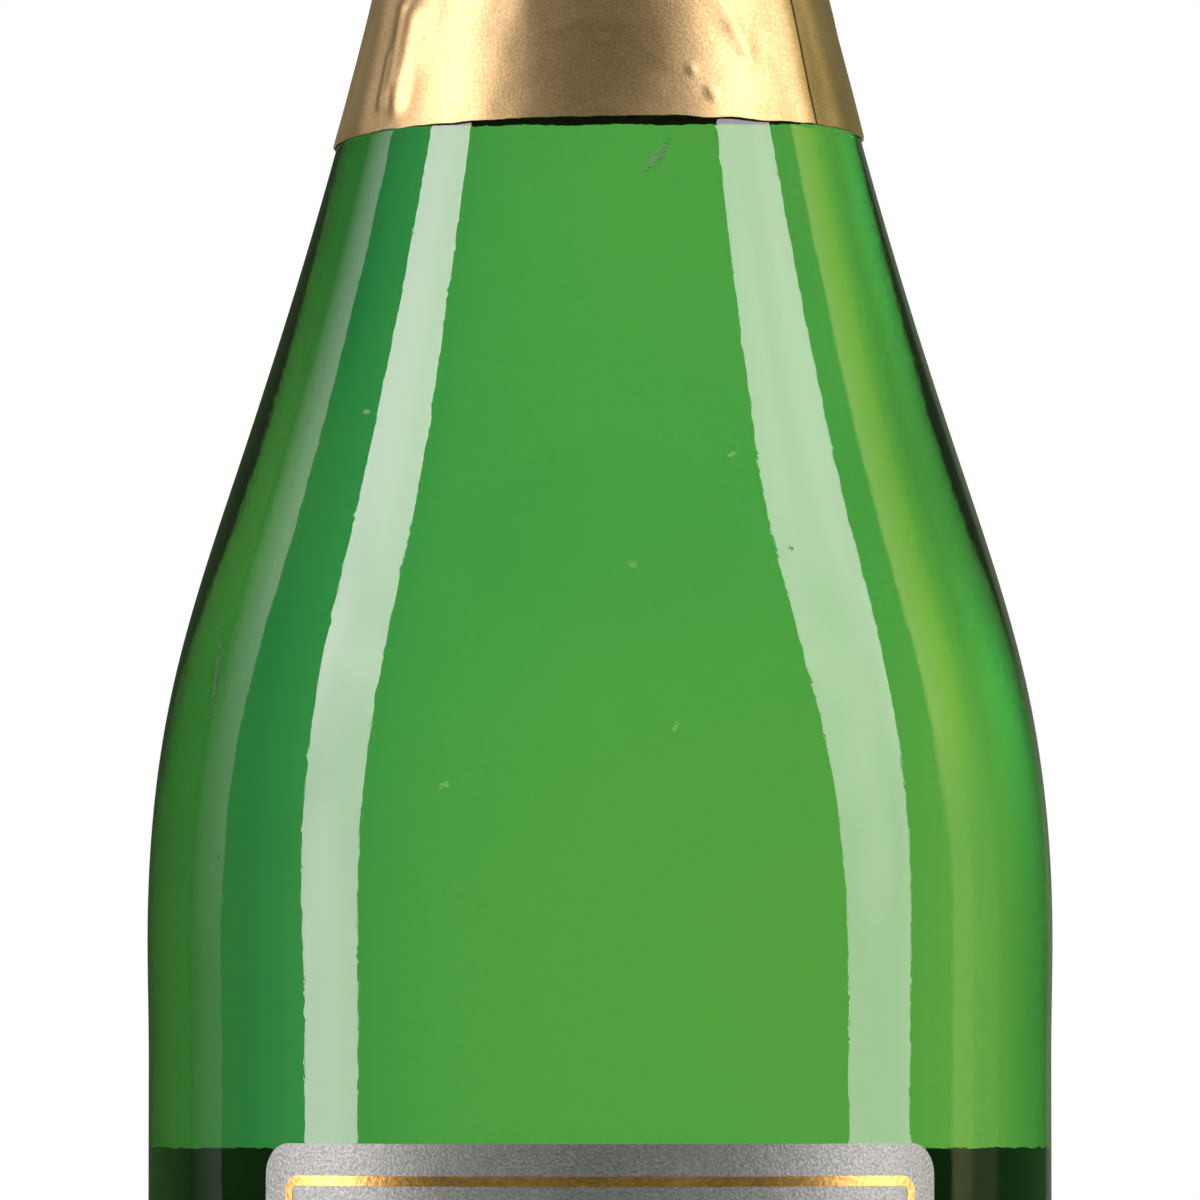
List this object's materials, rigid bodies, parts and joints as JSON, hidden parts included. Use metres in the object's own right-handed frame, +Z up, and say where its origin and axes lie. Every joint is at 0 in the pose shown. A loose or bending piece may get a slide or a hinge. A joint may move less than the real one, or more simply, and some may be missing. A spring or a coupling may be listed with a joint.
{
  "type": "champagne bottle",
  "caption": "Sealed sparkling wine bottle: green glass with a deep punt, wine, mushroom cork under a wire hood, gold neck foil, plain silver front and back labels.",
  "frame": {"origin": "centre of the ring that the bottle stands on, on the table", "axes": "+Z up the bottle's axis, -Y out of the front label, +X to the right of someone facing the front label"},
  "size_m": [0.0886, 0.0888, 0.3212],
  "materials": {
    "green_glass": "polished, faint orange peel",
    "wine": "clear pale straw liquid",
    "cork_granules": "pressed cork granules, matt",
    "natural_cork": "natural cork, matt, with pores",
    "gold_lacquered_plate": "lacquered tinplate, gloss",
    "galvanised_wire": "galvanised, satin",
    "gold_foil": "pale gold, satin with fine grain and creases",
    "gold_tape": "gold film tape, satin",
    "silver_label_paper": "metallised silver paper, fine grain, satin",
    "stamped_gold_line": "hot-stamped gold, bright"
  },
  "bodies": {
    "bottle": {"glass_bottle": "green_glass", "wine": "wine", "foil_skirt": "gold_foil", "tear_strip": "gold_foil", "front_label": "silver_label_paper", "front_label_frame": "stamped_gold_line", "back_label": "silver_label_paper", "back_label_frame": "stamped_gold_line"},
    "tab": {"tear_tab": "gold_tape"},
    "cork": {"cork_body": "cork_granules", "cork_disc_upper": "natural_cork", "cork_disc_lower": "natural_cork"},
    "hood": {"cap_plate": "gold_lacquered_plate", "cage_wire": "galvanised_wire", "belt_wire": "galvanised_wire"},
    "foil_top": {"foil_cap": "gold_foil", "foil_top_disc": "gold_foil"}
  },
  "joints": [
    {"name": "tab_lift", "type": "hinge", "parent": "bottle", "child": "tab", "pos_m": [0.00229, -0.01792, 0.27585], "axis": [-0.0674, 0.5276, -0.8468], "range_deg": [0, 120]},
    {"name": "cork_pull", "type": "slide", "parent": "bottle", "child": "cork", "axis": [0, 0, 1], "range_m": [0, 0.03]},
    {"name": "hood_lift", "type": "slide", "parent": "cork", "child": "hood", "axis": [0, 0, 1], "range_m": [0, 0.045], "deforming": ["belt_wire"]},
    {"name": "foil_cap_lift", "type": "slide", "parent": "hood", "child": "foil_top", "axis": [0, 0, 1], "range_m": [0, 0.05]}
  ]
}
